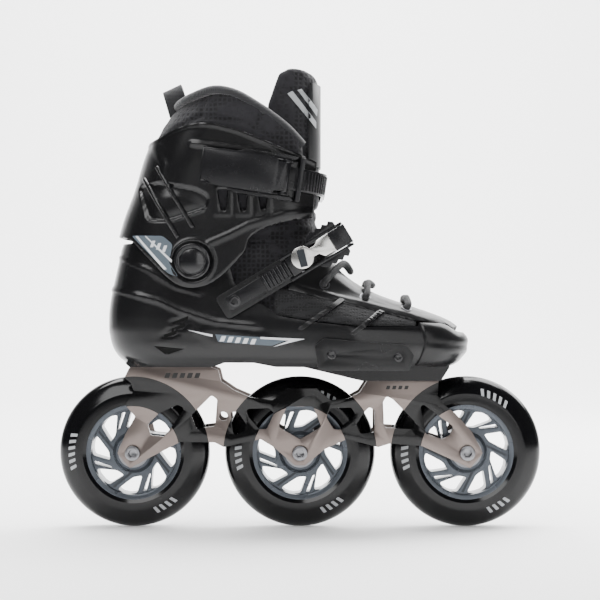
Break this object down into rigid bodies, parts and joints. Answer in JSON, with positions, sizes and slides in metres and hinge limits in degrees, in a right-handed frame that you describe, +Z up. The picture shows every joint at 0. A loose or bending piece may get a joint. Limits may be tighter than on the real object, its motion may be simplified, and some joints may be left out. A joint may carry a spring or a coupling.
{
  "type": "inline skate",
  "caption": "Inline skate: large wheels in a drilled alloy frame under a black boot with hinged cuff, laces, ratchet instep strap and cuff buckle.",
  "frame": {"origin": "on the ground under the middle axle, at the wheels' mid-plane", "axes": "+X towards the toe, +Z up, -Y to the skate's outer side (right foot)"},
  "size_m": [0.352, 0.1114, 0.3322],
  "materials": {
    "frame_alloy": "brushed, two-tone champagne and black",
    "steel": "satin",
    "tyre_urethane": "glossy black urethane",
    "hub_nylon": "satin grey",
    "shell_plastic": "semi-gloss black",
    "cuff_plastic": "semi-gloss black",
    "trim_plastic": "satin black",
    "vamp_skin": "satin black",
    "vent_mesh": "open mesh",
    "eyelet_metal": "dark plated",
    "lace_cord": "round woven cord",
    "liner_fabric": "padded mesh",
    "footbed_foam": "felted",
    "tongue_plate": "satin black with grey slashes",
    "webbing": "woven webbing",
    "pivot_plastic": "gloss black",
    "ladder_plastic": "satin black",
    "buckle_plastic": "satin black",
    "strap_skin": "satin black",
    "lever_alloy": "polished alloy"
  },
  "bodies": {
    "boot": {"frame": "frame_alloy", "axles": "steel", "axle_spacers": "steel", "bearing_inner_races": "steel", "mount_bolts": "steel", "mount_washers": "steel", "mount_inserts": "steel", "shell": "shell_plastic", "vamp": "vamp_skin", "vent_mesh": "vent_mesh", "vamp_ribs": "trim_plastic", "toe_bumper": "shell_plastic", "slider_outer": "trim_plastic", "slider_inner": "trim_plastic", "slider_screws": "steel", "eyelets": "eyelet_metal", "lace": "lace_cord", "liner_foot": "liner_fabric", "footbed": "footbed_foam", "tongue_lower": "liner_fabric", "pivot_bolts": "pivot_plastic", "instep_strap": "strap_skin", "instep_ladder": "ladder_plastic", "instep_screws": "steel", "instep_buckle_base": "buckle_plastic", "instep_pins": "steel"},
    "cuff": {"cuff": "cuff_plastic", "liner_collar": "liner_fabric", "tongue_upper": "liner_fabric", "tongue_shield": "tongue_plate", "pull_tab": "webbing", "top_ladder": "ladder_plastic", "top_buckle_base": "buckle_plastic", "top_buckle_pins": "steel", "top_ladder_screw": "steel"},
    "top_lever": {"top_lever": "buckle_plastic"},
    "top_pawl": {"top_pawl": "buckle_plastic"},
    "instep_lever": {"instep_lever": "lever_alloy", "instep_lever_cap": "buckle_plastic"},
    "instep_pawl": {"instep_pawl": "buckle_plastic"},
    "rear_wheel": {"rear_tyre": "tyre_urethane", "rear_hub": "hub_nylon", "rear_bearing_races": "steel", "rear_bearing_balls": "steel"},
    "middle_wheel": {"middle_tyre": "tyre_urethane", "middle_hub": "hub_nylon", "middle_bearing_races": "steel", "middle_bearing_balls": "steel"},
    "front_wheel": {"front_tyre": "tyre_urethane", "front_hub": "hub_nylon", "front_bearing_races": "steel", "front_bearing_balls": "steel"}
  },
  "joints": [
    {"name": "rear_wheel_spin", "type": "hinge", "parent": "boot", "child": "rear_wheel", "pos_m": [-0.121, 0, 0.055], "axis": [0, 1, 0], "continuous": true},
    {"name": "middle_wheel_spin", "type": "hinge", "parent": "boot", "child": "middle_wheel", "pos_m": [0, 0, 0.055], "axis": [0, 1, 0], "continuous": true},
    {"name": "front_wheel_spin", "type": "hinge", "parent": "boot", "child": "front_wheel", "pos_m": [0.121, 0, 0.055], "axis": [0, 1, 0], "continuous": true},
    {"name": "cuff_flex", "type": "hinge", "parent": "boot", "child": "cuff", "pos_m": [-0.076, 0, 0.193], "axis": [0, 1, 0], "range_deg": [-2, 8]},
    {"name": "top_lever_hinge", "type": "hinge", "parent": "cuff", "child": "top_lever", "pos_m": [-0.0106, -0.0542, 0.2515], "axis": [0.1564, 0, 0.9877], "range_deg": [0, 100], "stiffness_Nm_per_rad": 0.03, "springref_deg": -17.19},
    {"name": "top_pawl_hinge", "type": "hinge", "parent": "cuff", "child": "top_pawl", "pos_m": [-0.02838, -0.0525, 0.25432], "axis": [0.1564, 0, 0.9877], "range_deg": [0, 12], "stiffness_Nm_per_rad": 0.02, "springref_deg": -11.46},
    {"name": "instep_lever_hinge", "type": "hinge", "parent": "boot", "child": "instep_lever", "pos_m": [0.03072, -0.0496, 0.2111], "axis": [-0.515, 0, 0.8572], "range_deg": [0, 100], "stiffness_Nm_per_rad": 0.03, "springref_deg": -17.19},
    {"name": "instep_pawl_hinge", "type": "hinge", "parent": "boot", "child": "instep_pawl", "pos_m": [-0.00143, -0.048, 0.19178], "axis": [-0.515, 0, 0.8572], "range_deg": [0, 8], "stiffness_Nm_per_rad": 0.02, "springref_deg": -11.46}
  ]
}
